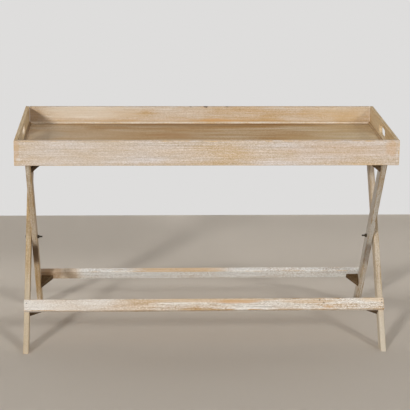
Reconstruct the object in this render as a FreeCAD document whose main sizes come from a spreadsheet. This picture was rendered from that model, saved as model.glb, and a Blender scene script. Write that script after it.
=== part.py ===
"""Butler's tray table: a wooden tray with hand slots on a folding X stand, in millimetres.

X runs along the tray, Y from front to back and Z up. The origin is on the floor under the middle of
the tray. The outer leg frame has its feet at the front and leans back; the inner one crosses it on two
pivot bolts. Both stop against the tray's front and back boards, which reach below the tray's floor.
"""
import FreeCAD, Part
import math
import os
import Sketcher

doc = FreeCAD.newDocument("ButlersTrayTable")

# Driving dimensions
SIZES = {
    "tray_length": 1200,
    "tray_depth": 550,
    "rim_height": 80,
    "rim_thickness": 12,
    "rim_edge_radius": 2,
    "skirt_depth": 10,
    "floor_thickness": 12,
    "groove_depth": 5,
    "groove_play": 0.3,
    "bead_size": 6,
    "bead_radius": 4,
    "hand_slot_length": 120,
    "hand_slot_height": 32,
    "hand_slot_drop": 32,
    "hand_slot_edge_radius": 3,
    "stand_height": 634,
    "tray_clearance": 1,
    "leg_width": 46,
    "leg_thickness": 17,
    "leg_edge_radius": 1.5,
    "rail_width": 39,
    "rail_thickness": 16,
    "rail_edge_radius": 1.5,
    "top_rail_width": 36,
    "stretcher_reach": 271,
    "block_depth": 40,
    "block_thickness": 20,
    "lower_block_run": 40,
    "upper_block_run": 34,
    "upper_block_rise": 9,
    "bolt_diameter": 6,
    "bolt_clearance": 0.05,
    "bolt_head_diameter": 14,
    "bolt_head_height": 3.5,
    "bolt_head_rim": 1.2,
    "bolt_crown_diameter": 8,
    "bolt_tip_chamfer": 0.8,
    "washer_diameter": 12,
    "washer_thickness": 1.6,
    "side_play": 0.2,
    "nut_width": 10,
    "nut_height": 5,
    "nut_face_diameter": 9.2,
    "nut_chamfer_angle": 30,
    "thread_projection": 10,
}

# Places worked out from the driving dimensions
LAYOUT = {
    "rim_bottom": "Sizes.stand_height - Sizes.skirt_depth",
    "floor_top": "Sizes.stand_height + Sizes.floor_thickness",
    "inside_length": "Sizes.tray_length - 2 * Sizes.rim_thickness",
    "inside_depth": "Sizes.tray_depth - 2 * Sizes.rim_thickness",
    "housing": "Sizes.groove_depth - Sizes.groove_play",
    "pivot_height": "Sizes.stand_height / 2",
    "half_spread": "Layout.inside_depth / 2 - Sizes.tray_clearance",
    "corner_reach": "sqrt(Layout.half_spread ^ 2 + Layout.pivot_height ^ 2)",
    "lean": "acos(Sizes.leg_width / 2 / Layout.corner_reach)"
            " - atan2(Layout.pivot_height; Layout.half_spread)",
    "outer_leg_face": "Layout.inside_length / 2 - Sizes.tray_clearance",
    "outer_leg_inside": "Layout.outer_leg_face - Sizes.leg_thickness",
    "leg_gap": "Sizes.washer_thickness + 2 * Sizes.side_play",
    "inner_leg_face": "Layout.outer_leg_inside - Layout.leg_gap",
    "inner_leg_inside": "Layout.inner_leg_face - Sizes.leg_thickness",
    "rail_back": "Sizes.leg_width / 2 + Sizes.rail_thickness",
    "top_at_leg": "(Layout.pivot_height - Sizes.leg_width / 2 * sin(Layout.lean)) / cos(Layout.lean)",
    "top_at_back": "(Layout.pivot_height - Layout.rail_back * sin(Layout.lean)) / cos(Layout.lean)",
    "top_rail_low": "Layout.top_at_leg - Sizes.top_rail_width",
    "bore": "Sizes.bolt_diameter + 2 * Sizes.bolt_clearance",
    "spacer_place": "Sizes.leg_thickness + Sizes.side_play",
    "inner_washer_place": "2 * Sizes.leg_thickness + Layout.leg_gap + Sizes.side_play",
    "nut_place": "Layout.inner_washer_place + Sizes.washer_thickness",
    "bolt_length": "Layout.nut_place + Sizes.nut_height + Sizes.thread_projection",
}


def fill_sheet(name, cells):
    """A sheet with one named cell for each entry."""
    sheet = doc.addObject("Spreadsheet::Sheet", name)
    for row, (alias, content) in enumerate(cells.items(), start=1):
        sheet.set(f"A{row}", alias)
        sheet.set(f"B{row}", content)
        sheet.setAlias(f"B{row}", alias)
        doc.recompute()
    return sheet


fill_sheet("Sizes", {name: str(size) for name, size in SIZES.items()})
layout = fill_sheet("Layout", {name: "=" + formula for name, formula in LAYOUT.items()})

# Tools for sketches and features
sub_parts = []


def value(expression):
    """The number that an expression on the two sheets gives."""
    result = layout.evalExpression(expression)
    return float(getattr(result, "Value", result))


def placement(x, y, z, axis, angle):
    """The expression of a place and a turn about one axis."""
    turn = f"create(<<rotation>>; create(<<vector>>; {axis}); {angle})"
    return f"create(<<placement>>; create(<<vector>>; {x}; {y}; {z}); {turn})"


OUTER_FRAME = placement("0", "0", "Layout.pivot_height", "1; 0; 0", "-Layout.lean")
INNER_FRAME = placement("0", "0", "Layout.pivot_height", "1; 0; 0", "Layout.lean")


def new_body(label, place):
    """An empty body that carries its sub-part's name and place."""
    body = doc.addObject("PartDesign::Body", label)
    body.Label = label
    body.setExpression("Placement", place)
    sub_parts.append(body)
    return body


def new_sketch(body, name, plane, offset="0"):
    """A sketch on one of the body's own planes, moved along the plane's normal."""
    sketch = body.newObject("Sketcher::SketchObject", name)
    support = next(item for item in body.Origin.OriginFeatures if item.Role == plane)
    sketch.AttachmentSupport = [(support, "")]
    sketch.MapMode = "FlatFace"
    sketch.setExpression("AttachmentOffset.Base.z", offset)
    return sketch


def pin_point(sketch, geometry, point, x, y):
    """Holds one point of a sketch at two expressions."""
    for kind, expression in (("DistanceX", x), ("DistanceY", y)):
        start = Sketcher.Constraint(kind, -1, 1, geometry, point, value(expression))
        index = sketch.addConstraint(start)
        sketch.setExpression(f"Constraints[{index}]", expression)


def add_polygon(sketch, corners):
    """A closed outline of straight lines through corners that are pairs of expressions."""
    points = [FreeCAD.Vector(value(x), value(y), 0) for x, y in corners]
    ends = points[1:] + points[:1]
    lines = [sketch.addGeometry(Part.LineSegment(a, b)) for a, b in zip(points, ends)]
    for line, following in zip(lines, lines[1:] + lines[:1]):
        sketch.addConstraint(Sketcher.Constraint("Coincident", line, 2, following, 1))
    for line, (x, y) in zip(lines, corners):
        pin_point(sketch, line, 1, x, y)


def add_circle(sketch, diameter):
    """A circle about the sketch's origin."""
    centre = FreeCAD.Vector(0, 0, 0)
    normal = FreeCAD.Vector(0, 0, 1)
    circle = sketch.addGeometry(Part.Circle(centre, normal, value(diameter) / 2))
    sketch.addConstraint(Sketcher.Constraint("Coincident", circle, 3, -1, 1))
    index = sketch.addConstraint(Sketcher.Constraint("Diameter", circle, value(diameter)))
    sketch.setExpression(f"Constraints[{index}]", diameter)


def add_slot(sketch, half_run, height, radius):
    """A slot with round ends, lying along the sketch's first axis."""
    run = value(half_run)
    level = value(height)
    size = value(radius)
    normal = FreeCAD.Vector(0, 0, 1)
    arcs = []
    for side in (-1, 1):
        circle = Part.Circle(FreeCAD.Vector(side * run, level, 0), normal, size)
        first = -side * math.pi / 2
        arcs.append(sketch.addGeometry(Part.ArcOfCircle(circle, first, first + math.pi)))
    left, right = arcs
    lines = []
    for rise, start, end in ((size, run, -run), (-size, -run, run)):
        first = FreeCAD.Vector(start, level + rise, 0)
        second = FreeCAD.Vector(end, level + rise, 0)
        lines.append(sketch.addGeometry(Part.LineSegment(first, second)))
    top, bottom = lines
    for arc, point, line, line_point in (
        (right, 2, top, 1),
        (left, 1, top, 2),
        (left, 2, bottom, 1),
        (right, 1, bottom, 2),
    ):
        sketch.addConstraint(Sketcher.Constraint("Tangent", arc, point, line, line_point))
    pin_point(sketch, left, 3, f"-({half_run})", height)
    pin_point(sketch, right, 3, half_run, height)
    for arc in arcs:
        index = sketch.addConstraint(Sketcher.Constraint("Radius", arc, size))
        sketch.setExpression(f"Constraints[{index}]", radius)


def pad(body, sketch, length, both_ways=False):
    """Raises a sketch into a solid along its normal."""
    feature = body.newObject("PartDesign::Pad", "Pad")
    feature.Profile = sketch
    if both_ways:
        feature.SideType = "Symmetric"
    feature.setExpression("Length", length)
    doc.recompute()
    return feature


def cut_through(body, sketch):
    """Cuts a sketch right through the solid on both sides, and checks that it took something away."""
    before = body.Shape.Volume
    feature = body.newObject("PartDesign::Pocket", "Cut")
    feature.Profile = sketch
    feature.Type = "ThroughAll"
    feature.SideType = "Symmetric"
    doc.recompute()
    if body.Shape.Volume >= before:
        raise RuntimeError(f"{body.Label}: {sketch.Label} cut nothing")
    return feature


def round_edges(body, feature, radius, wanted):
    """Rounds the edges of a feature that are wanted."""
    edges = enumerate(feature.Shape.Edges, start=1)
    fillet = body.newObject("PartDesign::Fillet", "Rounding")
    fillet.Base = (feature, [f"Edge{number}" for number, edge in edges if wanted(edge)])
    fillet.setExpression("Radius", radius)
    doc.recompute()
    return fillet


TOLERANCE = 0.001


def near(first, second):
    """Whether two lengths are the same."""
    return abs(first - second) < TOLERANCE


def runs_along_x(edge):
    """Whether an edge is straight and lies along X."""
    return edge.Curve.TypeId == "Part::GeomLine" and near(abs(edge.Curve.Direction.x), 1)


def runs_along_z(edge):
    """Whether an edge is straight and lies along Z."""
    return edge.Curve.TypeId == "Part::GeomLine" and near(abs(edge.Curve.Direction.z), 1)


# Tray


def side_places(half_length, half_depth, height):
    """Places of four strips round a rectangle, each with its own Y axis pointing inwards."""
    return {
        "front": placement("0", f"-({half_depth})", height, "0; 0; 1", "0"),
        "back": placement("0", half_depth, height, "0; 0; 1", "180"),
        "left": placement(f"-({half_length})", "0", height, "0; 0; 1", "-90"),
        "right": placement(half_length, "0", height, "0; 0; 1", "90"),
    }


def mitred_strip(label, place, length, width, height):
    """A straight strip with both ends mitred; its outer face is on the XZ plane."""
    body = new_body(label, place)
    plan = new_sketch(body, "Plan", "XY_Plane")
    add_polygon(plan, [
        (f"-({length}) / 2", "0"),
        (f"({length}) / 2", "0"),
        (f"({length}) / 2 - {width}", width),
        (f"{width} - ({length}) / 2", width),
    ])
    return body, pad(body, plan, height)


def rim_board(label, place, length, has_hand_slot):
    """One tray board: mitred, grooved for the floor, its long edges rounded."""
    body, board = mitred_strip(label, place, length, "Sizes.rim_thickness", "Sizes.rim_height")
    groove = new_sketch(body, "FloorGroove", "YZ_Plane")
    groove_back = "Sizes.rim_thickness - Sizes.groove_depth"
    groove_top = "Sizes.skirt_depth + Sizes.floor_thickness + Sizes.groove_play"
    add_polygon(groove, [
        (groove_back, "Sizes.skirt_depth"),
        ("Sizes.rim_thickness", "Sizes.skirt_depth"),
        ("Sizes.rim_thickness", groove_top),
        (groove_back, groove_top),
    ])
    board = cut_through(body, groove)
    if has_hand_slot:
        slot = new_sketch(body, "HandSlot", "XZ_Plane")
        add_slot(
            slot,
            "(Sizes.hand_slot_length - Sizes.hand_slot_height) / 2",
            "Sizes.rim_height - Sizes.hand_slot_drop",
            "Sizes.hand_slot_height / 2",
        )
        board = cut_through(body, slot)
        slot_low = value("Sizes.rim_height - Sizes.hand_slot_drop - Sizes.hand_slot_height / 2")
        half_length = value("Sizes.hand_slot_length / 2")

        def round_slot(edge):
            box = edge.BoundBox
            inside = box.ZMin > slot_low - TOLERANCE and box.XMax < half_length + TOLERANCE
            return near(box.YMin, box.YMax) and inside and box.XMin > -half_length - TOLERANCE

        board = round_edges(body, board, "Sizes.hand_slot_edge_radius", round_slot)
    top = value("Sizes.rim_height")

    def long_rim_edge(edge):
        middle = edge.CenterOfMass
        outer_bottom = near(middle.y, 0) and near(middle.z, 0)
        return runs_along_x(edge) and (outer_bottom or near(middle.z, top))

    round_edges(body, board, "Sizes.rim_edge_radius", long_rim_edge)


rim_places = side_places("Sizes.tray_length / 2", "Sizes.tray_depth / 2", "Layout.rim_bottom")
for side, place in rim_places.items():
    if side in ("front", "back"):
        rim_board(f"tray_{side}_board", place, "Sizes.tray_length", False)
    else:
        rim_board(f"tray_{side}_end_board", place, "Sizes.tray_depth", True)

panel = doc.addObject("Part::Box", "tray_floor")
panel.Label = "tray_floor"
panel.setExpression("Length", "Layout.inside_length + 2 * Layout.housing")
panel.setExpression("Width", "Layout.inside_depth + 2 * Layout.housing")
panel.setExpression("Height", "Sizes.floor_thickness")
panel.setExpression("Placement", placement(
    "-Layout.inside_length / 2 - Layout.housing",
    "-Layout.inside_depth / 2 - Layout.housing",
    "Sizes.stand_height",
    "0; 0; 1",
    "0",
))
sub_parts.append(panel)


def floor_bead(label, place, length):
    """A small mitred bead in the corner between the tray's floor and a board, its free edge rounded."""
    body, strip = mitred_strip(label, place, length, "Sizes.bead_size", "Sizes.bead_size")
    size = value("Sizes.bead_size")

    def free_edge(edge):
        middle = edge.CenterOfMass
        return runs_along_x(edge) and near(middle.y, size) and near(middle.z, size)

    round_edges(body, strip, "Sizes.bead_radius", free_edge)


bead_places = side_places("Layout.inside_length / 2", "Layout.inside_depth / 2", "Layout.floor_top")
for side, place in bead_places.items():
    run = "Layout.inside_length" if side in ("front", "back") else "Layout.inside_depth"
    floor_bead(f"floor_bead_{side}", place, run)

# Leg frames


def leg(label, place, start, slant):
    """One leg with its ends cut level; slant is the frame's lean, +1 outer or -1 inner."""
    body = new_body(label, place)
    outline = new_sketch(body, "Outline", "YZ_Plane", start)

    def corner(across, end):
        y = f"{across} * Sizes.leg_width / 2"
        drop = f"{slant} * {y} * sin(Layout.lean)"
        return y, f"({end} * Layout.pivot_height + {drop}) / cos(Layout.lean)"

    add_polygon(outline, [corner(-1, -1), corner(1, -1), corner(1, 1), corner(-1, 1)])
    pad(body, outline, "Sizes.leg_thickness")
    bore = new_sketch(body, "PivotBore", "YZ_Plane", start)
    add_circle(bore, "Layout.bore")
    bored = cut_through(body, bore)
    round_edges(body, bored, "Sizes.leg_edge_radius", runs_along_z)


def rail(label, place, half_length, face, low, tops):
    """A rail across both legs of a frame, on the legs' face at -Y (face -1) or +Y (face 1)."""
    body = new_body(label, place)
    section = new_sketch(body, "Section", "YZ_Plane")
    at_leg = f"{face} * Sizes.leg_width / 2"
    at_back = f"{face} * Layout.rail_back"
    leg_top, back_top = tops
    add_polygon(section, [(at_leg, low), (at_back, low), (at_back, back_top), (at_leg, leg_top)])
    bar = pad(body, section, f"2 * {half_length}", both_ways=True)
    round_edges(body, bar, "Sizes.rail_edge_radius", runs_along_x)


def corner_block(label, place, side, leg_inside, face, low, run):
    """A three-cornered block in the angle between a leg's inner side and its rail."""
    body = new_body(label, place)
    plan = new_sketch(body, "Plan", "XY_Plane", low)
    x = f"{side} * {leg_inside}"
    y = f"{face} * Sizes.leg_width / 2"
    add_polygon(plan, [
        (x, y),
        (f"{side} * ({leg_inside} - {run})", y),
        (x, f"{face} * (Sizes.leg_width / 2 - Sizes.block_depth)"),
    ])
    pad(body, plan, "Sizes.block_thickness")


STRETCHER_LOW = "-Sizes.stretcher_reach"
STRETCHER_TOP = "Sizes.rail_width - Sizes.stretcher_reach"
STRETCHER_TOPS = (STRETCHER_TOP, STRETCHER_TOP)
LEVEL_TOPS = ("Layout.top_at_leg", "Layout.top_at_back")
UPPER_BLOCK = "Layout.top_rail_low + Sizes.upper_block_rise"


def leg_frame(name, place, leg_face, leg_inside, rail_face, stretcher, top_rail):
    """Two legs joined by a low stretcher and a top rail cut level, with a block in each corner."""
    for side_name, start in (("left", f"-{leg_face}"), ("right", leg_inside)):
        leg(f"{name}_leg_{side_name}", place, start, -rail_face)
    rail(stretcher, place, leg_face, rail_face, STRETCHER_LOW, STRETCHER_TOPS)
    rail(top_rail, place, leg_face, rail_face, "Layout.top_rail_low", LEVEL_TOPS)
    for rail_name, low, run in (
        (stretcher, STRETCHER_LOW, "Sizes.lower_block_run"),
        (top_rail, UPPER_BLOCK, "Sizes.upper_block_run"),
    ):
        for side_name, side in (("left", -1), ("right", 1)):
            block = f"{rail_name}_block_{side_name}"
            corner_block(block, place, side, leg_inside, rail_face, low, run)


leg_frame("outer", OUTER_FRAME, "Layout.outer_leg_face", "Layout.outer_leg_inside", -1,
          "front_stretcher", "back_top_rail")
leg_frame("inner", INNER_FRAME, "Layout.inner_leg_face", "Layout.inner_leg_inside", 1,
          "back_stretcher", "front_top_rail")

# Pivot hardware, each piece measured inwards from the outer leg's outer face


def turn_about_bolt(body, sketch, kind):
    """A full turn of a sketch about the bolt's axis, which adds or cuts material."""
    feature = body.newObject(kind, "Turned")
    feature.Profile = sketch
    feature.ReferenceAxis = (sketch, ["H_Axis"])
    feature.Angle = 360
    doc.recompute()


def pivot_bolt(label, place):
    """A bolt turned about its own axis, its round head bevelled and its tip chamfered."""
    body = new_body(label, place)
    half = new_sketch(body, "HalfSection", "XY_Plane")
    shank = "Sizes.bolt_diameter / 2"
    head = "Sizes.bolt_head_diameter / 2"
    add_polygon(half, [
        ("-Sizes.bolt_head_height", "0"),
        ("-Sizes.bolt_head_height", "Sizes.bolt_crown_diameter / 2"),
        ("-Sizes.bolt_head_rim", head),
        ("0", head),
        ("0", shank),
        ("Layout.bolt_length - Sizes.bolt_tip_chamfer", shank),
        ("Layout.bolt_length", f"{shank} - Sizes.bolt_tip_chamfer"),
        ("Layout.bolt_length", "0"),
    ])
    turn_about_bolt(body, half, "PartDesign::Revolution")


def washer(label, place, start):
    """A flat ring on the bolt."""
    body = new_body(label, place)
    ring = new_sketch(body, "Ring", "YZ_Plane", start)
    add_circle(ring, "Sizes.washer_diameter")
    add_circle(ring, "Layout.bore")
    pad(body, ring, "Sizes.washer_thickness")


def nut(label, place):
    """A hexagon nut on the bolt's inner end, its corners turned off at the free face."""
    body = new_body(label, place)
    hexagon = new_sketch(body, "Hexagon", "YZ_Plane", "Layout.nut_place")
    corner = "Sizes.nut_width / sqrt(3)"
    turns = range(0, 360, 60)
    add_polygon(hexagon, [(f"{corner} * cos({turn})", f"{corner} * sin({turn})") for turn in turns])
    add_circle(hexagon, "Layout.bore")
    pad(body, hexagon, "Sizes.nut_height")
    squared = body.Shape.Volume
    chamfer = new_sketch(body, "Chamfer", "XY_Plane")
    face = "Layout.nut_place + Sizes.nut_height"
    face_edge = "Sizes.nut_face_diameter / 2"
    depth = f"({corner} - {face_edge}) * tan(Sizes.nut_chamfer_angle)"
    add_polygon(chamfer, [(face, face_edge), (face, corner), (f"{face} - {depth}", corner)])
    turn_about_bolt(body, chamfer, "PartDesign::Groove")
    if body.Shape.Volume >= squared:
        raise RuntimeError(f"{label}: its chamfer cut nothing")


PIVOTS = {
    "left": placement("-Layout.outer_leg_face", "0", "Layout.pivot_height", "0; 0; 1", "0"),
    "right": placement("Layout.outer_leg_face", "0", "Layout.pivot_height", "0; 0; 1", "180"),
}
for side, place in PIVOTS.items():
    pivot_bolt(f"pivot_bolt_{side}", place)
    washer(f"pivot_spacer_{side}", place, "Layout.spacer_place")
    washer(f"pivot_washer_{side}", place, "Layout.inner_washer_place")
    nut(f"pivot_nut_{side}", place)

# Every object is checked before anything is written
doc.recompute()
failed = [item.Name for item in doc.Objects if {"Invalid", "Error"} & set(item.State)]
if failed:
    raise RuntimeError(f"failed objects: {failed}")
for item in sub_parts:
    if item.Shape.isNull() or not item.Shape.isValid() or len(item.Shape.Solids) != 1:
        raise RuntimeError(f"bad shape: {item.Label}")

os.makedirs("parts", exist_ok=True)
for item in sub_parts:
    item.Shape.exportStep(f"parts/{item.Label}.step")
print(f"{len(sub_parts)} sub-parts, legs lean {value('Layout.lean'):.2f} degrees")
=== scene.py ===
# %% [markdown]
# # A limed butler's tray table
#
# A butler's tray table is two things that come apart: a shallow tray with hand slots, and a folding X of
# legs that carries it. The solids of every board, leg and bolt are already made at their real size, so
# this lesson never moves them. It gives each one its own cut of limed timber, adds the nails and the screw
# threads that are too small for the solids, and lights the table the way a shop photographs it.

# %% Load the solids
import math
from collections import namedtuple

import bmesh
import bpy
from mathutils import Euler, Matrix, Vector


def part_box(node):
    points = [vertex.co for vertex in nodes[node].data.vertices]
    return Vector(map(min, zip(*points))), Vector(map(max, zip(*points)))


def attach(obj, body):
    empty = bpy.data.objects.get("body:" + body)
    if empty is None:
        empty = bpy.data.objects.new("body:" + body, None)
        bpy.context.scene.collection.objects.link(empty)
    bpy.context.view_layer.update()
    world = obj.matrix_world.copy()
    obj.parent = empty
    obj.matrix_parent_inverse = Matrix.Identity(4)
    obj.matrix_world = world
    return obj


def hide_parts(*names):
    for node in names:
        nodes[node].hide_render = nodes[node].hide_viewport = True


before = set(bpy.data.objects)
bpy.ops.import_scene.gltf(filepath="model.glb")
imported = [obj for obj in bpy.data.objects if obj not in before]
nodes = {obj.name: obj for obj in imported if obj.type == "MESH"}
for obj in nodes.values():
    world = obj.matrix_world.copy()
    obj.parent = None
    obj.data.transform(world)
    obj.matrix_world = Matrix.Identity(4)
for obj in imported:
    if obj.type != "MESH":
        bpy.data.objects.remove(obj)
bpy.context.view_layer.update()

MM = 0.001

# %% [markdown]
# ## Each board in its own frame
#
# Timber has a direction. Grain runs along a board whichever way the board lies, and here the legs lean by
# more than a third of a right angle. One could unwrap every board and paint it, but a solid pattern in the
# board's own frame needs no seams, and the cut ends show end grain by themselves. So the first job is to
# measure each piece: where its middle is, which way its grain runs and how large it is along its own axes.

# %% Measure a piece along its own grain
Cut = namedtuple("Cut", "middle axes half")
ALONG = Vector((1, 0, 0))
BACKWARDS = Vector((0, 1, 0))
UPWARDS = Vector((0, 0, 1))
SIDES = {"left": -1, "right": 1}
NEARLY_SQUARE = 0.01


def cut_of(name, grain, across):
    """A piece's middle, its axes with the grain first, and its half size along them."""
    axes = Matrix((grain, across, grain.cross(across))).transposed()
    points = [axes.transposed() @ vertex.co for vertex in nodes[name].data.vertices]
    low = Vector([min(values) for values in zip(*points)])
    high = Vector([max(values) for values in zip(*points)])
    return Cut(axes @ ((low + high) / 2), axes, (high - low) / 2)


def slope_of(leg):
    """The upward direction of a leg, square to the largest of its narrow faces."""
    narrow = [face for face in nodes[leg].data.polygons if abs(face.normal.x) < NEARLY_SQUARE]
    rise = max(narrow, key=lambda face: face.area).normal.cross(ALONG)
    return rise if rise.z > 0 else -rise


OUTER_SLOPE = slope_of("outer_leg_left")
INNER_SLOPE = slope_of("inner_leg_left")
print(f"legs lean {math.degrees(math.atan2(OUTER_SLOPE.y, OUTER_SLOPE.z)):.1f} degrees back and "
      f"{math.degrees(math.atan2(-INNER_SLOPE.y, INNER_SLOPE.z)):.1f} forwards")

# %% Cut every wooden piece
cuts = {"tray_floor": cut_of("tray_floor", ALONG, BACKWARDS)}
for side in ("front", "back"):
    cuts[f"tray_{side}_board"] = cut_of(f"tray_{side}_board", ALONG, UPWARDS)
    cuts[f"floor_bead_{side}"] = cut_of(f"floor_bead_{side}", ALONG, UPWARDS)
for side in SIDES:
    cuts[f"tray_{side}_end_board"] = cut_of(f"tray_{side}_end_board", BACKWARDS, UPWARDS)
    cuts[f"floor_bead_{side}"] = cut_of(f"floor_bead_{side}", BACKWARDS, UPWARDS)
FRAMES = {
    "outer": (OUTER_SLOPE, ("front_stretcher", "back_top_rail")),
    "inner": (INNER_SLOPE, ("back_stretcher", "front_top_rail")),
}
for name, (slope, rails) in FRAMES.items():
    for side in SIDES:
        leg = f"{name}_leg_{side}"
        cuts[leg] = cut_of(leg, slope, ALONG.cross(slope))
        for rail in rails:
            block = f"{rail}_block_{side}"
            cuts[block] = cut_of(block, ALONG, slope)
    for rail in rails:
        cuts[rail] = cut_of(rail, ALONG, slope)
print(f"{len(cuts)} wooden pieces measured")

# %% [markdown]
# ## A short way to write nodes
#
# A wood finish needs dozens of small nodes. Written out one property at a time they hide what the finish
# does, so these helpers make a node, set it and link it in one line. A value that is a socket is linked
# and a plain number is set.

# %% Helpers for node trees
NUMBER = "NodeSocketFloat"
VECTOR = "NodeSocketVector"
COLOUR = "NodeSocketColor"
MIX_FIRST = 6
MIX_SECOND = 7
MIX_RESULT = 2


def feed(tree, socket, value):
    """Links a socket to another one, or sets it to a plain value."""
    if isinstance(value, bpy.types.NodeSocket):
        tree.links.new(value, socket)
    else:
        socket.default_value = value


def add_node(tree, kind, *values, **settings):
    """A node with its settings made, and its inputs linked or set in order."""
    made = tree.nodes.new(kind)
    for name, setting in settings.items():
        setattr(made, name, setting)
    for socket, value in zip(made.inputs, values):
        feed(tree, socket, value)
    return made


def reckon(tree, operation, *values):
    """A sum on numbers."""
    return add_node(tree, "ShaderNodeMath", *values, operation=operation).outputs[0]


def reckon_vector(tree, operation, *values):
    """A sum on vectors."""
    made = add_node(tree, "ShaderNodeVectorMath", *values, operation=operation)
    return made.outputs["Value" if operation == "LENGTH" else "Vector"]


def ease(tree, value, start, end):
    """A smooth step from 0 at start to 1 at end."""
    made = add_node(tree, "ShaderNodeMapRange", value, start, end, interpolation_type="SMOOTHSTEP")
    return made.outputs[0]


def mix_colour(tree, share, first, second):
    """The second colour laid over the first by a share from 0 to 1."""
    made = add_node(tree, "ShaderNodeMix", share, data_type="RGBA")
    feed(tree, made.inputs[MIX_FIRST], first)
    feed(tree, made.inputs[MIX_SECOND], second)
    return made.outputs[MIX_RESULT]


def cloud(tree, vector, stretch, seed, detail):
    """Soft noise from 0 to 1, with that many features to the metre along each axis."""
    scaled = reckon_vector(tree, "MULTIPLY", vector, stretch)
    return add_node(
        tree, "ShaderNodeTexNoise", scaled, seed, 1.0, detail, noise_dimensions="4D"
    ).outputs[0]


def new_group(name, inputs, outputs):
    """An empty node group with named inputs and outputs."""
    tree = bpy.data.node_groups.new(name, "ShaderNodeTree")
    for label, kind in inputs.items():
        tree.interface.new_socket(label, in_out="INPUT", socket_type=kind)
    for label, kind in outputs.items():
        tree.interface.new_socket(label, in_out="OUTPUT", socket_type=kind)
    given = tree.nodes.new("NodeGroupInput").outputs
    wanted = tree.nodes.new("NodeGroupOutput").inputs
    return tree, given, wanted


def colour(red, green, blue):
    """A screen colour, from 0 to 255, as the light that a shader works in."""
    channels = [part / 255 for part in (red, green, blue)]
    return (*[part / 12.92 if part <= 0.04045 else ((part + 0.055) / 1.055) ** 2.4 for part in channels], 1)


print("node helpers ready")

# %% [markdown]
# ## The figure of the timber
#
# A tree grows in rings about its pith, and a board is a flat cut through them. Wave textures give stripes
# that are too even, so the rings here are real distances from a pith line that lies beside the board, and
# slow noise makes the trunk wander. Smears of paste, long streaks, short flecks and fine pores are noise
# pulled out along the grain, each by its own length. One group holds all five, and each board asks for
# them with its own pith and seed.

# %% Node group for the timber's figure
RING_WIDTH = 7.5 * MM
LATE_WOOD_CURVE = 1.6
RING_EDGE = 0.86
TRUNK_WANDER = 16 * MM
WANDER_STRETCH = (1.7, 6, 6)
SMEAR_STRETCH = (5, 26, 26)
STREAK_STRETCH = (7, 500, 500)
FLECK_STRETCH = (260, 620, 620)
PORE_STRETCH = (30, 640, 640)
PORE_EDGES = (0.55, 0.68)
MEAN_NOISE = 0.5


def build_timber_figure():
    """Rings, smears, streaks, flecks and pores of a board whose grain runs along x, from 0 to 1."""
    tree, given, wanted = new_group(
        "timber_figure",
        {"Vector": VECTOR, "Pith": VECTOR, "Seed": NUMBER},
        {"Rings": NUMBER, "Smears": NUMBER, "Streaks": NUMBER, "Flecks": NUMBER, "Pores": NUMBER},
    )
    place, pith, seed = given["Vector"], given["Pith"], given["Seed"]
    wander = reckon(tree, "SUBTRACT", cloud(tree, place, WANDER_STRETCH, seed, detail=2.0), MEAN_NOISE)
    from_pith = reckon_vector(tree, "SUBTRACT", place, pith)
    flat = reckon_vector(tree, "MULTIPLY", from_pith, (0, 1, 1))
    straight = reckon_vector(tree, "LENGTH", flat)
    radius = reckon(tree, "MULTIPLY_ADD", wander, TRUNK_WANDER, straight)
    ring = reckon(tree, "FRACT", reckon(tree, "DIVIDE", radius, RING_WIDTH))
    darkening = reckon(tree, "POWER", ring, LATE_WOOD_CURVE)
    late_wood = reckon(tree, "MULTIPLY", darkening, ease(tree, ring, 1.0, RING_EDGE))
    tree.links.new(late_wood, wanted["Rings"])
    tree.links.new(cloud(tree, place, SMEAR_STRETCH, seed, detail=3.0), wanted["Smears"])
    tree.links.new(cloud(tree, place, STREAK_STRETCH, seed, detail=1.0), wanted["Streaks"])
    tree.links.new(cloud(tree, place, FLECK_STRETCH, seed, detail=1.0), wanted["Flecks"])
    hairs = cloud(tree, place, PORE_STRETCH, seed, detail=1.0)
    tree.links.new(ease(tree, hairs, *PORE_EDGES), wanted["Pores"])
    return tree


TIMBER_FIGURE = build_timber_figure()
print(f"{TIMBER_FIGURE.name}: {len(TIMBER_FIGURE.nodes)} nodes")

# %% [markdown]
# ## Rubbed edges and patches
#
# Hands, cloths and sanding blocks wear a board along its edges first. A mesh of loose triangles has no
# corners that a shader could sense, but the board's half size is known: of a point's three depths below
# the board's faces, the middle one is its distance from the nearest edge. The second group marks a
# single patch with a ragged border, for a knot, a stain, a smear of filler or a painted shadow.

# %% Node groups for edges and patches
EDGE_STRETCH = (24, 60, 60)
EDGE_SHRINK = 0.62
EDGE_RAGGEDNESS = 3.0
PATCH_STRETCH = (1.8, 1.8, 1.8)
PATCH_RAGGEDNESS = 1.3
PATCH_RIM = (1.15, 0.45)


def build_rubbed_edges():
    """A mask that is 1 on a board's edges and fades inwards over an uneven reach."""
    tree, given, wanted = new_group(
        "rubbed_edges",
        {"Vector": VECTOR, "Half size": VECTOR, "Reach": NUMBER, "Seed": NUMBER},
        {"Mask": NUMBER},
    )
    depths = reckon_vector(
        tree, "SUBTRACT", reckon_vector(tree, "ABSOLUTE", given["Vector"]), given["Half size"]
    )
    split = add_node(tree, "ShaderNodeSeparateXYZ", depths).outputs
    upper = reckon(tree, "MAXIMUM", split[0], split[1])
    lower = reckon(tree, "MINIMUM", split[0], split[1])
    middle = reckon(tree, "MAXIMUM", lower, reckon(tree, "MINIMUM", upper, split[2]))
    noise = cloud(tree, given["Vector"], EDGE_STRETCH, given["Seed"], detail=3.0)
    uneven = reckon(tree, "SUBTRACT", noise, EDGE_SHRINK)
    swing = reckon(tree, "MULTIPLY", given["Reach"], EDGE_RAGGEDNESS)
    ragged = reckon(tree, "MULTIPLY_ADD", uneven, swing, middle)
    inner = reckon(tree, "MULTIPLY", given["Reach"], -1.0)
    tree.links.new(ease(tree, ragged, inner, 0.0), wanted["Mask"])
    return tree


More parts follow.
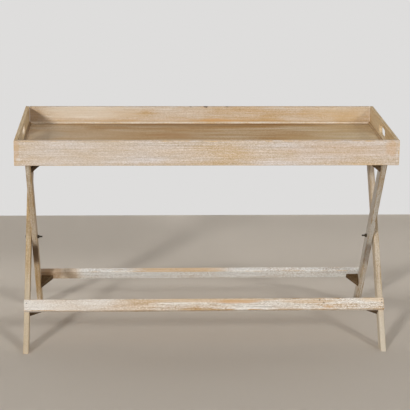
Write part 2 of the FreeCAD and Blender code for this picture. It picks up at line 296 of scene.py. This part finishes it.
def build_ragged_patch():
    """A mask that is 1 inside an oval about a centre, with a ragged border."""
    tree, given, wanted = new_group(
        "patch",
        {"Vector": VECTOR, "Centre": VECTOR, "Radii": VECTOR, "Seed": NUMBER},
        {"Mask": NUMBER},
    )
    offset = reckon_vector(tree, "SUBTRACT", given["Vector"], given["Centre"])
    shrunk = reckon_vector(tree, "DIVIDE", offset, given["Radii"])
    noise = cloud(tree, shrunk, PATCH_STRETCH, given["Seed"], detail=4.0)
    uneven = reckon(tree, "SUBTRACT", noise, MEAN_NOISE)
    reach = reckon_vector(tree, "LENGTH", shrunk)
    ragged = reckon(tree, "MULTIPLY_ADD", uneven, PATCH_RAGGEDNESS, reach)
    tree.links.new(ease(tree, ragged, *PATCH_RIM), wanted["Mask"])
    return tree


RUBBED_EDGES = build_rubbed_edges()
RAGGED_PATCH = build_ragged_patch()
for group in (RUBBED_EDGES, RAGGED_PATCH):
    print(f"{group.name}: {len(group.nodes)} nodes")

# %% [markdown]
# ## The lime wash
#
# Limed wood is brushed open, rubbed with white paste and wiped. The paste stays in the pores and in
# cloudy smears, and the wiped ridges show the wood. So the finish mixes three colours: the darker late
# wood, the paler early wood and the lime. Where an edge is rubbed, the lime is gone and warmer wood shows.
# The same masks give the surface its relief and its sheen, so light and colour agree.

# %% Node group for the lime wash
MEAN_RING = 0.35
MEAN_TONE = 0.5
RING_TONE = 0.5
STREAK_TONE = 1.2
FINE_LIME = 0.45
PORE_LIME = 0.2
FINE_SHADE = 0.28
FULL_ROUGHNESS = 0.95
FLECK_ROUGHNESS = 0.25
LIME_ROUGHNESS = 0.1
PORE_RELIEF = -0.5
RING_RELIEF = 0.4


def build_lime_wash():
    """Colour, roughness and height of limed wood from its figure and its worn places."""
    tree, given, wanted = new_group(
        "lime_wash",
        {
            "Rings": NUMBER, "Smears": NUMBER, "Streaks": NUMBER, "Flecks": NUMBER, "Pores": NUMBER,
            "Rubbed": NUMBER, "Dark wood": COLOUR, "Pale wood": COLOUR, "Lime": COLOUR, "Worn wood": COLOUR,
            "Lime amount": NUMBER, "Smear": NUMBER, "Streak": NUMBER, "Fleck": NUMBER, "Gloss": NUMBER,
        },
        {"Colour": COLOUR, "Roughness": NUMBER, "Height": NUMBER},
    )
    smears = reckon(tree, "SUBTRACT", given["Smears"], MEAN_NOISE)
    streaks = reckon(tree, "SUBTRACT", given["Streaks"], MEAN_NOISE)
    flecks = reckon(tree, "SUBTRACT", given["Flecks"], MEAN_NOISE)
    rings = reckon(tree, "SUBTRACT", given["Rings"], MEAN_RING)
    streaked = reckon(tree, "MULTIPLY_ADD", streaks, STREAK_TONE, MEAN_TONE)
    tone = reckon(tree, "MULTIPLY_ADD", rings, RING_TONE, streaked)
    wood = mix_colour(tree, tone, given["Pale wood"], given["Dark wood"])
    share = reckon(tree, "MULTIPLY_ADD", smears, given["Smear"], given["Lime amount"])
    fine = reckon(tree, "MULTIPLY", flecks, given["Fleck"])
    fine = reckon(tree, "MULTIPLY_ADD", streaks, given["Streak"], fine)
    share = reckon(tree, "MULTIPLY_ADD", fine, FINE_LIME, share)
    share = reckon(tree, "MULTIPLY_ADD", given["Pores"], PORE_LIME, share)
    kept = reckon(tree, "SUBTRACT", 1.0, given["Rubbed"])
    share = reckon(tree, "MULTIPLY", share, kept)
    share.node.use_clamp = True
    limed = mix_colour(tree, share, wood, given["Lime"])
    worn = mix_colour(tree, given["Rubbed"], limed, given["Worn wood"])
    shading = reckon(tree, "MULTIPLY_ADD", fine, FINE_SHADE, 1.0)
    tree.links.new(reckon_vector(tree, "MULTIPLY", worn, shading), wanted["Colour"])
    dull = reckon(tree, "SUBTRACT", FULL_ROUGHNESS, given["Gloss"])
    dull = reckon(tree, "MULTIPLY_ADD", flecks, FLECK_ROUGHNESS, dull)
    tree.links.new(reckon(tree, "MULTIPLY_ADD", share, LIME_ROUGHNESS, dull), wanted["Roughness"])
    relief = reckon(tree, "MULTIPLY_ADD", given["Pores"], PORE_RELIEF, given["Streaks"])
    tree.links.new(reckon(tree, "MULTIPLY_ADD", given["Rings"], RING_RELIEF, relief), wanted["Height"])
    return tree


LIME_WASH = build_lime_wash()
print(f"{LIME_WASH.name}: {len(LIME_WASH.nodes)} nodes")

# %% [markdown]
# ## One material for each piece
#
# No two boards of a table come from the same place in a tree. A single wood material on every piece looks
# printed, so each piece gets a material of its own: the shared groups with that piece's frame, pith and
# seed. A Mapping node of the texture kind takes a point from the table's frame into the board's own.

# %% Build a limed material
Finish = namedtuple("Finish", "dark pale lime worn amount smear streak fleck gloss reach relief")
Patch = namedtuple("Patch", "centre radii shade strength")
BUMP_STRENGTH = 0.6
WOOD_SPECULAR = 0.25
THROUGH = 1000


def patch_at(along, across, length, width, shade, strength, depth=THROUGH):
    """A patch, in mm from a piece's middle, that goes right through the piece unless a depth is given."""
    return Patch((along * MM, across * MM, 0), (length * MM, width * MM, depth * MM), shade, strength)


def put_group(tree, group, **values):
    """A group in a material, its inputs linked or set by name, with spaces written as _."""
    made = add_node(tree, "ShaderNodeGroup", node_tree=group)
    for name, value in values.items():
        feed(tree, made.inputs[name.replace("_", " ")], value)
    return made.outputs


def own_frame(tree, cut):
    """Object coordinates taken into a piece's own frame."""
    place = add_node(tree, "ShaderNodeTexCoord").outputs["Object"]
    turn = cut.axes.to_euler()
    return add_node(tree, "ShaderNodeMapping", place, cut.middle, turn, vector_type="TEXTURE").outputs[0]


def limed_wood(name, finish, seed, pith, patches=(), half=None):
    """The limed finish of one piece, whose edges lie at its half size unless another is given."""
    cut = cuts[name]
    material = bpy.data.materials.new(f"limed_{name}")
    material.use_nodes = True
    tree = material.node_tree
    shader = tree.nodes["Principled BSDF"]
    place = own_frame(tree, cut)
    figure = put_group(tree, TIMBER_FIGURE, Vector=place, Pith=pith, Seed=seed)
    rubbed = put_group(
        tree, RUBBED_EDGES, Vector=place, Half_size=half or cut.half, Reach=finish.reach, Seed=seed
    )
    wash = put_group(
        tree, LIME_WASH,
        Rings=figure["Rings"], Smears=figure["Smears"], Streaks=figure["Streaks"],
        Flecks=figure["Flecks"], Pores=figure["Pores"], Rubbed=rubbed["Mask"],
        Dark_wood=finish.dark, Pale_wood=finish.pale, Lime=finish.lime, Worn_wood=finish.worn,
        Lime_amount=finish.amount, Smear=finish.smear, Streak=finish.streak, Fleck=finish.fleck,
        Gloss=finish.gloss,
    )
    shade = wash["Colour"]
    for number, patch in enumerate(patches):
        mark = put_group(
            tree, RAGGED_PATCH, Vector=place, Centre=patch.centre, Radii=patch.radii, Seed=seed + number
        )
        share = reckon(tree, "MULTIPLY", mark["Mask"], patch.strength)
        shade = mix_colour(tree, share, shade, patch.shade)
    tree.links.new(shade, shader.inputs["Base Color"])
    tree.links.new(wash["Roughness"], shader.inputs["Roughness"])
    bump = add_node(tree, "ShaderNodeBump")
    bump.inputs["Strength"].default_value = BUMP_STRENGTH
    bump.inputs["Distance"].default_value = finish.relief
    tree.links.new(wash["Height"], bump.inputs["Height"])
    tree.links.new(bump.outputs["Normal"], shader.inputs["Normal"])
    shader.inputs["Specular IOR Level"].default_value = WOOD_SPECULAR
    nodes[name].material_slots[0].material = material


print("limed_wood takes a piece's name, a finish, a seed and a pith")

# %% [markdown]
# ## Finishes of the tray
#
# The boards outside are pale and a little pink under the lime, and the floor has kept more of its golden
# brown, with a faint sheen where things have slid over it. One finish for the whole tray would look new, so
# a finish is written once and each other one says only how it differs. The colours are written as they
# should look in plain light.

# %% Choose the finishes of the tray
TRAY = Finish(
    dark=colour(188, 155, 110), pale=colour(212, 184, 142), lime=colour(214, 205, 199),
    worn=colour(214, 184, 142), amount=0.52, smear=1.8, streak=2.3, fleck=2.8, gloss=0.33, reach=5 * MM,
    relief=0.3 * MM,
)
TRAY_INSIDE = TRAY._replace(
    dark=colour(178, 140, 86), pale=colour(202, 167, 112), lime=colour(214, 205, 194),
    smear=2.1, streak=1.6, fleck=1.6, reach=3 * MM,
)
TRAY_END = TRAY_INSIDE._replace(
    dark=colour(182, 148, 95), pale=colour(206, 174, 124), lime=colour(216, 199, 170), amount=0.4
)
TRAY_FLOOR = Finish(
    dark=colour(156, 112, 60), pale=colour(194, 154, 98), lime=colour(206, 188, 162),
    worn=colour(104, 76, 46), amount=0.4, smear=3.4, streak=2.0, fleck=4.2, gloss=0.28, reach=4 * MM,
    relief=0.2 * MM,
)
TRAY_BEAD = TRAY_INSIDE._replace(lime=colour(226, 214, 196), amount=0.8)
# The left bead's dark brown is painted shade, as it sits in the left end board's shadow.
SHADED_LEFT_BEAD = TRAY_INSIDE._replace(
    dark=colour(112, 84, 52), pale=colour(146, 116, 80), lime=colour(172, 150, 120),
    worn=colour(202, 182, 152), amount=0.3, smear=1.6, reach=1.6 * MM,
)
WARM_BEAD = SHADED_LEFT_BEAD._replace(
    dark=colour(140, 106, 66), pale=colour(176, 142, 98), lime=colour(196, 172, 140),
    worn=colour(208, 184, 146),
)
BEAD_FINISHES = {"front": TRAY_BEAD, "back": TRAY_BEAD, "left": SHADED_LEFT_BEAD, "right": WARM_BEAD}
print("finishes for boards, ends, floor and beads")

# %% [markdown]
# ## Marks on the tray
#
# A used tray is known by its marks: orange heart wood at the ends, chips in the rim of the back board and
# filler round a hand slot. Painted shade darkens the floor along the back board, and a painted shadow of the
# left end board deepens the back board's left corner. Painting them would need an unwrapped picture, but a
# few ragged ovals do as well. Each row says where a mark lies from the middle of its board, how far it
# reaches, its colour and how strong it is.

# %% Place the marks of the tray
ORANGE = colour(204, 158, 102)
AMBER = colour(188, 146, 90)
TAN = colour(206, 170, 120)
ROSY = colour(198, 164, 130)
CREAM = colour(224, 212, 194)
SAND = colour(216, 198, 172)
COOL_LIME = colour(212, 205, 198)
FILLER = colour(232, 224, 216)
CHIP = colour(84, 60, 38)
# A brown for painted shade and painted shadows.
SHADE_BROWN = colour(140, 102, 56)
FADED = colour(204, 178, 146)
STRAW = colour(218, 194, 152)
HONEY = colour(192, 150, 94)
ASH = colour(196, 182, 160)
RUSSET = colour(178, 128, 74)

board_end = cuts["tray_front_board"].half.x / MM
board_rim = cuts["tray_front_board"].half.y / MM
bead_low, bead_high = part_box("floor_bead_front")
bead_width = bead_high.y - bead_low.y
floor_edge = -bead_high.y / MM
FRONT_PATCHES = (
    patch_at(-390, 0, 260, 60, COOL_LIME, 0.22),
    patch_at(400, 10, 200, 34, ROSY, 0.22),
    patch_at(board_end - 24, 14, 22, 30, ORANGE, 0.35),
    patch_at(6 - board_end, 10, 12, 50, ORANGE, 0.3),
    patch_at(13 - board_end, 20 - board_rim, 9, 6, FILLER, 0.6),
)
BACK_PATCHES = (
    patch_at(18, board_rim, 8, 4, CHIP, 0.9),
    patch_at(-34, board_rim, 5, 3, CHIP, 0.4),
    patch_at(92, board_rim, 5, 3, CHIP, 0.4),
    patch_at(-390, 18, 190, 34, CREAM, 0.6),
    patch_at(490, 16, 110, 30, SAND, 0.4),
    patch_at(0, -18, 1300, 20, AMBER, 0.4),
    patch_at(65, -16, 110, 15, ORANGE, 0.6),
    # Painted shadow of the left end board in the back board's left corner.
    patch_at(26 - board_end, -4, 40, 60, SHADE_BROWN, 0.4),
    patch_at(board_end - 13, 0, 2.6, 90, FILLER, 0.3),
    patch_at(13 - board_end, 0, 2.6, 90, FILLER, 0.7),
)
SLOT_PATCHES = (patch_at(50, 8, 26, 24, FILLER, 0.5, depth=6),)
FLOOR_PATCHES = (
    patch_at(-430, 0, 230, 320, FADED, 0.5),
    patch_at(500, 20, 270, 330, STRAW, 0.45),
    patch_at(0, 40, 420, 280, HONEY, 0.3),
    patch_at(-530, 80, 80, 80, ASH, 0.4),
    patch_at(-100, 70, 90, 60, RUSSET, 0.35),
    # Painted shade along the back of the floor, under the back board and its bead.
    patch_at(-10, floor_edge, 420, 80, SHADE_BROWN, 0.45),
    patch_at(0, floor_edge, 1200, 26, SHADE_BROWN, 0.5),
)
print(f"{sum(map(len, (FRONT_PATCHES, BACK_PATCHES, SLOT_PATCHES, FLOOR_PATCHES)))} marks on the tray")

# %% Finish the tray
BEAD_SEED = 8.5
BEAD_PITH = (0, 30 * MM, 20 * MM)
limed_wood("tray_front_board", TRAY, seed=1.3, pith=(0, -70 * MM, 50 * MM), patches=FRONT_PATCHES)
limed_wood("tray_back_board", TRAY_INSIDE, seed=2.7, pith=(0, -60 * MM, 70 * MM), patches=BACK_PATCHES)
limed_wood("tray_left_end_board", TRAY_END, seed=4.1, pith=(0, 80 * MM, 60 * MM), patches=SLOT_PATCHES)
limed_wood("tray_right_end_board", TRAY_END, seed=5.9, pith=(0, 66 * MM, -60 * MM))
shown_floor = Vector((bead_high.x - bead_width, -bead_high.y, cuts["tray_floor"].half.z))
limed_wood(
    "tray_floor", TRAY_FLOOR, seed=7.2, pith=(0, 180 * MM, -60 * MM),
    patches=FLOOR_PATCHES, half=shown_floor,
)
for number, (side, finish) in enumerate(BEAD_FINISHES.items()):
    limed_wood(f"floor_bead_{side}", finish, BEAD_SEED + number, BEAD_PITH)
print("tray: 4 boards, a floor and 4 beads finished")

# %% [markdown]
# ## Finishes of the stand
#
# The stretchers hold the most lime, and their edges are rubbed back to a warm tan. The legs are barer, and
# the right ones have greyed. The corner blocks are kept dark brown with little lime, and part of that dark
# brown is painted shade, as they sit in shade under the rails. They all start from the tray's finish,
# because one maker limed them from one pot.

# %% Choose the finishes of the stand
LEG = TRAY._replace(
    dark=colour(156, 122, 76), pale=colour(188, 156, 108), lime=colour(198, 182, 155),
    worn=colour(186, 154, 108), amount=0.35, smear=2.4, streak=2.4, fleck=3.4,
)
GREY_LEG = LEG._replace(lime=colour(188, 182, 172), worn=colour(150, 132, 104), amount=0.85)
MIXED_LEG = LEG._replace(lime=colour(202, 190, 172), worn=colour(174, 146, 106), amount=0.5)
RAIL = TRAY._replace(
    dark=colour(172, 130, 74), pale=colour(204, 164, 106), lime=colour(224, 218, 209),
    worn=colour(190, 148, 92), amount=0.68, smear=3.4, streak=3.2, fleck=5.4, reach=3 * MM,
)
WHITE_RAIL = RAIL._replace(
    lime=colour(219, 218, 214), worn=colour(220, 195, 158), amount=0.95, smear=1.4, streak=2.6, fleck=5.0,
    reach=2 * MM,
)
# Part of the blocks' dark brown is painted shade.
BLOCK = LEG._replace(
    dark=colour(60, 41, 20), pale=colour(94, 70, 40), lime=colour(122, 102, 76),
    worn=colour(92, 68, 40), amount=0.1, gloss=0.3,
)
print("finishes for legs, rails and blocks")

# %% [markdown]
# ## Marks on the stand
#
# The front feet are wiped with the floor, so they are pale. Below each crossing the inner leg's front face
# carries a painted shadow of the outer leg. The front stretcher shows tan heart wood between smears of
# white, and two knots no larger than a pea. The left end of the back stretcher carries tan wood and a
# painted shadow of the left legs. The rows read like those of the tray.

# %% Place the marks of the stand
WHITEWASH = colour(228, 221, 212)
PEACH = colour(226, 200, 166)
OATMEAL = colour(208, 195, 173)
CHALK = colour(216, 206, 188)
STONE = colour(186, 175, 160)
# A dark brown for painted shadow.
CROSSING_SHADE = colour(84, 58, 32)

LEG_DEPTH = 100
leg_end = cuts["outer_leg_left"].half.x / MM
leg_front = cuts["inner_leg_left"].half.y / MM
stretcher_top = cuts["front_stretcher"].half.y / MM
FRONT_RAIL_PATCHES = (
    patch_at(-420, 0, 260, 30, WHITEWASH, 0.55),
    patch_at(-20, 13, 270, 9, TAN, 0.6),
    patch_at(103, 8, 90, 7, ORANGE, 0.7),
    patch_at(330, 8, 110, 8, TAN, 0.5),
    patch_at(405, -11, 22, 6, ORANGE, 0.5),
    patch_at(565, 14, 60, 12, PEACH, 0.6),
    patch_at(376, 12, 3.5, 3, CHIP, 0.6),
    patch_at(389, 2.5, 3.5, 3, CHIP, 0.6),
    # A thin dark line along the left part of the top edge.
    patch_at(-430, stretcher_top, 65, 2.5, CHIP, 0.5),
)
BACK_RAIL_PATCHES = (
    patch_at(-90, stretcher_top, 200, 3, TAN, 0.7),
    # At the left end, tan wood and a painted shadow of the left legs.
    patch_at(-490, 0, 80, 100, TAN, 0.5),
    patch_at(-540, 0, 60, 100, SHADE_BROWN, 0.7),
)
LEFT_FOOT = patch_at(-leg_end, 0, 330, LEG_DEPTH, OATMEAL, 0.6, LEG_DEPTH)
RIGHT_FOOT = patch_at(-leg_end, 0, 300, LEG_DEPTH, CHALK, 0.65, LEG_DEPTH)
GREYED_TOP = patch_at(leg_end, 0, 420, LEG_DEPTH, STONE, 0.6, LEG_DEPTH)
# Painted shadow of each outer leg on the inner leg's front face, just below the crossing.
LEFT_CROSSING_SHADOW = patch_at(-62, leg_front, 66, 16, CROSSING_SHADE, 0.85)
RIGHT_CROSSING_SHADOW = patch_at(-66, leg_front, 70, 16, CROSSING_SHADE, 0.45)
STAND = {
    "outer_leg_left": (LEG, (LEFT_FOOT,)),
    "outer_leg_right": (MIXED_LEG, (RIGHT_FOOT, GREYED_TOP)),
    "inner_leg_left": (MIXED_LEG, (LEFT_CROSSING_SHADOW,)),
    "inner_leg_right": (GREY_LEG, (RIGHT_CROSSING_SHADOW,)),
    "front_stretcher": (RAIL, FRONT_RAIL_PATCHES),
    "back_stretcher": (WHITE_RAIL, BACK_RAIL_PATCHES),
    "front_top_rail": (RAIL, ()),
    "back_top_rail": (RAIL, ()),
}
print(f"{sum(len(patches) for finish, patches in STAND.values())} marks on the stand")

# %% Finish the stand
STAND_SEED = 20.3
STAND_PITH = (0, 40 * MM, 60 * MM)
BLOCK_SEED = 60.6
BLOCK_PITH = (0, 30 * MM, 40 * MM)
SEED_STEP = 2
for number, (name, (finish, patches)) in enumerate(STAND.items()):
    limed_wood(name, finish, STAND_SEED + SEED_STEP * number, STAND_PITH, patches)
for number, name in enumerate(name for name in cuts if "_block_" in name):
    limed_wood(name, BLOCK, BLOCK_SEED + SEED_STEP * number, BLOCK_PITH)
print("stand: 4 legs, 4 rails and 8 blocks finished")

# %% [markdown]
# ## Dark steel
#
# The bolts, washers, nuts and nails are plain dark steel with a dull bloom of rust. A metal has the colour
# of its reflections, and rust has one of its own, so the bloom makes the steel rougher and less of a metal.
# A flat dark paint would be simpler, but it would look like plastic.

# %% Finish the steel
STEEL_DARK = colour(88, 80, 68)
STEEL_RUST = colour(112, 88, 62)
RUST_STRETCH = (420, 420, 420)
RUST_SEED = 3.0
RUST_EDGES = (0.5, 0.7)
STEEL_ROUGHNESS = 0.38
RUST_ROUGHNESS = 0.3
RUST_METAL = -0.6
RUST_RELIEF = 0.05 * MM


def dark_steel():
    """Dark steel with faint rust."""
    material = bpy.data.materials.new("dark_steel")
    material.use_nodes = True
    tree = material.node_tree
    shader = tree.nodes["Principled BSDF"]
    place = add_node(tree, "ShaderNodeTexCoord").outputs["Object"]
    bloom = cloud(tree, place, RUST_STRETCH, RUST_SEED, detail=4.0)
    rust = ease(tree, bloom, *RUST_EDGES)
    roughness = reckon(tree, "MULTIPLY_ADD", rust, RUST_ROUGHNESS, STEEL_ROUGHNESS)
    tree.links.new(mix_colour(tree, rust, STEEL_DARK, STEEL_RUST), shader.inputs["Base Color"])
    tree.links.new(roughness, shader.inputs["Roughness"])
    tree.links.new(reckon(tree, "MULTIPLY_ADD", rust, RUST_METAL, 1.0), shader.inputs["Metallic"])
    bump = add_node(tree, "ShaderNodeBump")
    bump.inputs["Distance"].default_value = RUST_RELIEF
    tree.links.new(bloom, bump.inputs["Height"])
    tree.links.new(bump.outputs["Normal"], shader.inputs["Normal"])
    return material


STEEL = dark_steel()
for name, solid in nodes.items():
    if name.startswith("pivot_"):
        solid.material_slots[0].material = STEEL
print("pivot bolts, washers and nuts are steel")

# %% [markdown]
# ## Threaded pivot bolts
#
# The solid bolt is a smooth pin, because a thread has hundreds of faces. Seen close, the bolt's end that
# stands out of the nut is the one machined thing on the stand, so here it gets its screw thread. A bump map
# would leave the outline smooth. A lathe turns the half section into the bolt, and a second spin that also
# steps along the axis winds a small ridge round it.

# %% Lathe and finish helpers
WELD = 0.001 * MM
SHARP_ANGLE = math.radians(35)


def lathe(bm, profile, steps):
    """A half section, as (along, radius) points, turned about the x axis."""
    points = [bm.verts.new((along, radius, 0)) for along, radius in profile]
    edges = [bm.edges.new(pair) for pair in zip(points, points[1:])]
    bmesh.ops.spin(
        bm, geom=points + edges, cent=(0, 0, 0), axis=(1, 0, 0), angle=math.tau, steps=steps, use_merge=True
    )


def finish_piece(bm, name, place, material, body):
    """Closes a mesh, sets it in its place and lets it ride on its body."""
    bmesh.ops.remove_doubles(bm, verts=bm.verts[:], dist=WELD)
    bmesh.ops.recalc_face_normals(bm, faces=bm.faces[:])
    bmesh.ops.transform(bm, matrix=place, verts=bm.verts[:])
    for face in bm.faces:
        face.smooth = True
    mesh = bpy.data.meshes.new(name)
    bm.to_mesh(mesh)
    bm.free()
    mesh.set_sharp_from_angle(angle=SHARP_ANGLE)
    mesh.materials.append(material)
    piece = bpy.data.objects.new(name, mesh)
    bpy.context.scene.collection.objects.link(piece)
    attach(piece, body)
    return piece


print("lathe and finish_piece ready")

# %% Turn the two bolts
THREAD_PITCH = 1.0 * MM
THREAD_DEPTH = 0.55 * MM
THREAD_LENGTH = 14 * MM
RIDGE_ROOT = 0.1 * MM
BOLT_RADIUS = 3 * MM
BOLT_STEPS = 32
HEAD_HEIGHT = 3.5 * MM
HEAD_STEPS = 8


def turn_bolt(side, inwards):
    """A round-headed bolt with a screw thread from its nut to its tip, in place of the solid one."""
    low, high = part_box(f"pivot_bolt_{side}")
    head_radius = (high.z - low.z) / 2
    shank = nodes[f"pivot_bolt_{side}"].dimensions.x - HEAD_HEIGHT
    thread_start = shank - THREAD_LENGTH
    core = BOLT_RADIUS - THREAD_DEPTH
    dome = [
        (-HEAD_HEIGHT * math.cos(turn), head_radius * math.sin(turn))
        for turn in [math.pi / 2 * step / HEAD_STEPS for step in range(HEAD_STEPS + 1)]
    ]
    bm = bmesh.new()
    lathe(bm, [
        *dome, (0, BOLT_RADIUS), (thread_start, BOLT_RADIUS), (thread_start + THREAD_DEPTH, core),
        (shank - THREAD_DEPTH, core), (shank, core - THREAD_DEPTH), (shank, 0),
    ], BOLT_STEPS)
    turns = int((THREAD_LENGTH - 2 * THREAD_DEPTH) / THREAD_PITCH) - 1
    ridge_start = thread_start + THREAD_DEPTH
    root = core - RIDGE_ROOT
    ridge = [
        bm.verts.new((ridge_start + along * THREAD_PITCH, height, 0))
        for along, height in ((0.05, root), (0.5, BOLT_RADIUS), (0.95, root))
    ]
    face = bm.faces.new(ridge)
    bmesh.ops.spin(
        bm, geom=[face], cent=(0, 0, 0), axis=(1, 0, 0), dvec=(THREAD_PITCH / BOLT_STEPS, 0, 0),
        angle=math.tau * turns, steps=BOLT_STEPS * turns,
    )
    leg_face = (low.x + HEAD_HEIGHT) if inwards > 0 else (high.x - HEAD_HEIGHT)
    place = Matrix.Translation((leg_face, 0, (low.z + high.z) / 2))
    if inwards < 0:
        place = place @ Matrix.Rotation(math.pi, 4, "Z")
    bolt = finish_piece(bm, f"threaded_bolt_{side}", place, STEEL, "outer_frame")
    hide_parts(f"pivot_bolt_{side}")
    return bolt


for side, outwards in SIDES.items():
    bolt = turn_bolt(side, -outwards)
    print(f"{bolt.name}: {len(bolt.data.polygons)} faces")

# %% [markdown]
# ## Nails
#
# Each stretcher is nailed to its legs. Three small dark heads show at its right end, and at its left end
# one, because the lime has filled the others over. They are not in a ruled line, because they were driven
# by hand. Each head is a flat dome turned on the lathe, and the heads at one end are one piece that rides
# on its frame.

# %% Drive the nails
NAIL_RADIUS = 1.7 * MM
NAIL_RISE = 0.35 * MM
NAIL_SHOULDER = 0.7
NAIL_STEPS = 12
NAIL_SPOTS = {
    "right": ((6.0 * MM, 12 * MM), (6.6 * MM, 3 * MM), (3.8 * MM, -13 * MM)),
    "left": ((7.6 * MM, 7 * MM),),
}


def drive_nails(rail, body, face, end, side):
    """The nail heads on a rail's free face near one of its ends."""
    cut = cuts[rail]
    shoulder = (NAIL_RISE * NAIL_SHOULDER, NAIL_RADIUS * NAIL_SHOULDER)
    bm = bmesh.new()
    for inset, across in NAIL_SPOTS[end]:
        before = set(bm.verts)
        lathe(bm, [(NAIL_RISE, 0), shoulder, (0, NAIL_RADIUS), (-NAIL_RISE, 0)], NAIL_STEPS)
        head = [vertex for vertex in bm.verts if vertex not in before]
        spot = Vector((side * (cut.half.x - inset), across, face * cut.half.z))
        turn = Matrix.Rotation(-face * math.pi / 2, 4, "Y")
        bmesh.ops.transform(bm, matrix=Matrix.Translation(spot) @ turn, verts=head)
    place = Matrix.Translation(cut.middle) @ cut.axes.to_4x4()
    return finish_piece(bm, f"{rail}_nails_{end}", place, STEEL, body)


for rail, body, face in (("front_stretcher", "outer_frame", 1), ("back_stretcher", "inner_frame", -1)):
    for end, side in SIDES.items():
        print(drive_nails(rail, body, face, end, side).name)

# %% [markdown]
# ## Floor and wall
#
# The table stands on a plain pale floor in front of a plain pale wall. Both are painted only on the side
# that faces the table, so that a camera behind the wall or under the floor looks straight through. Where the
# wall is looked at it shows its own colour evenly, but it takes and gives light like any other wall.

# %% Set the stage
WALL_Y = 1.42
STAGE_SIZE = 30
FLOOR_COLOUR = colour(210, 201, 189)
WALL_COLOUR = colour(222, 221, 220)
SHEET_ROUGHNESS = 0.9
SHEET_SPECULAR = 0.1


def looked_at(tree):
    """1 for a ray by which the camera, a gloss or a glass sees a thing, and 0 for one that lights."""
    rays = add_node(tree, "ShaderNodeLightPath").outputs
    seen = reckon(tree, "MAXIMUM", rays["Is Camera Ray"], rays["Is Glossy Ray"])
    return reckon(tree, "MAXIMUM", seen, rays["Is Transmission Ray"])


def plain_sheet(name, place, shade, glow):
    """A large sheet of one plain colour that cannot be seen from behind; a glow keeps its colour even."""
    bm = bmesh.new()
    bmesh.ops.create_grid(bm, x_segments=1, y_segments=1, size=STAGE_SIZE / 2, matrix=place)
    mesh = bpy.data.meshes.new(name)
    bm.to_mesh(mesh)
    bm.free()
    material = bpy.data.materials.new(name)
    material.use_nodes = True
    tree = material.node_tree
    shader = tree.nodes["Principled BSDF"]
    shader.inputs["Base Color"].default_value = shade
    shader.inputs["Roughness"].default_value = SHEET_ROUGHNESS
    shader.inputs["Specular IOR Level"].default_value = SHEET_SPECULAR
    front = shader.outputs[0]
    if glow:
        even = add_node(tree, "ShaderNodeEmission", shade, 1.0).outputs[0]
        front = add_node(tree, "ShaderNodeMixShader", looked_at(tree), front, even).outputs[0]
    behind = add_node(tree, "ShaderNodeNewGeometry").outputs["Backfacing"]
    clear = add_node(tree, "ShaderNodeBsdfTransparent").outputs[0]
    seen = add_node(tree, "ShaderNodeMixShader", behind, front, clear)
    tree.links.new(seen.outputs[0], tree.nodes["Material Output"].inputs["Surface"])
    mesh.materials.append(material)
    sheet = bpy.data.objects.new(name, mesh)
    bpy.context.scene.collection.objects.link(sheet)


plain_sheet("floor", Matrix.Identity(4), FLOOR_COLOUR, False)
upright = Matrix.Rotation(math.pi / 2, 4, "X")
plain_sheet("wall", Matrix.Translation((0, WALL_Y, STAGE_SIZE / 2)) @ upright, WALL_COLOUR, True)
print(f"floor and wall, the wall {WALL_Y} m behind the middle of the table")

# %% [markdown]
# ## Light
#
# The photograph has a strong soft light low on the left of the camera and a weaker, higher one on the right.
# Each throws the slanting shadow of an end board on the back board. Lamps near the table would leave the far
# floor dark, so these shine from far away, and their spread makes the shadows soft. An even sky fills what
# they leave dark, and the strengths are set so that a colour comes out about as it is written.

# %% Hang the lights
LAMP_DISTANCE = 4
SKY_STRENGTH = 0.14


def hang_light(name, direction, strength, spread):
    """A far soft light that shines on the table from one direction, with a spread in degrees."""
    light = bpy.data.lights.new(name, "SUN")
    light.energy = strength
    light.angle = math.radians(spread)
    lamp = bpy.data.objects.new(name, light)
    lamp.location = Vector(direction) * LAMP_DISTANCE
    lamp.rotation_euler = (-lamp.location).to_track_quat("-Z", "Y").to_euler()
    bpy.context.scene.collection.objects.link(lamp)


hang_light("key_light", (-0.43, -0.86, 0.27), strength=1.84, spread=6)
hang_light("fill_light", (0.50, -0.75, 0.44), strength=0.82, spread=8)

world = bpy.data.worlds.new("studio")
bpy.context.scene.world = world
world.use_nodes = True
tree = world.node_tree
lit = tree.nodes["Background"]
lit.inputs["Color"].default_value = (1, 1, 1, 1)
lit.inputs["Strength"].default_value = SKY_STRENGTH
shown = add_node(tree, "ShaderNodeBackground", WALL_COLOUR, 1.0)
sky = add_node(tree, "ShaderNodeMixShader", looked_at(tree), lit.outputs[0], shown.outputs[0])
tree.links.new(sky.outputs[0], tree.nodes["World Output"].inputs["Surface"])
bpy.context.scene.view_settings.view_transform = "Standard"
print("key light, fill light and an even sky")

# %% [markdown]
# ## Camera
#
# The camera stands nearly five metres in front of the table, a little to the left of its middle and about
# a metre above the tray, and looks down with a long lens. A shorter lens from nearer would show the front
# of the table too large. The place, the turns in radians and the lens in millimetres come from matching the
# corners of the tray, the legs and the stretchers to the photograph.

# %% Place the camera
CAMERA_PLACE = (-0.22720, -4.86010, 1.72111)
CAMERA_YAW = 0.04796
CAMERA_PITCH = 0.26057
CAMERA_ROLL = 0.00954
LENS = 133.01
SENSOR_WIDTH = 36

camera = bpy.data.cameras.new("camera")
camera.lens = LENS
camera.sensor_width = SENSOR_WIDTH
viewer = bpy.data.objects.new("camera", camera)
viewer.location = CAMERA_PLACE
level = Euler((math.pi / 2 - CAMERA_PITCH, 0, -CAMERA_YAW)).to_matrix()
viewer.rotation_euler = (level @ Matrix.Rotation(CAMERA_ROLL, 3, "Z")).to_euler()
bpy.context.scene.collection.objects.link(viewer)
bpy.context.scene.camera = viewer
print(f"{LENS} mm lens, {Vector(CAMERA_PLACE).length:.2f} m from the table's foot")

# %% [markdown]
# ## Update the scene
#
# Nothing here may make the table larger than its solids.

# %% Update the scene
bpy.context.view_layer.update()
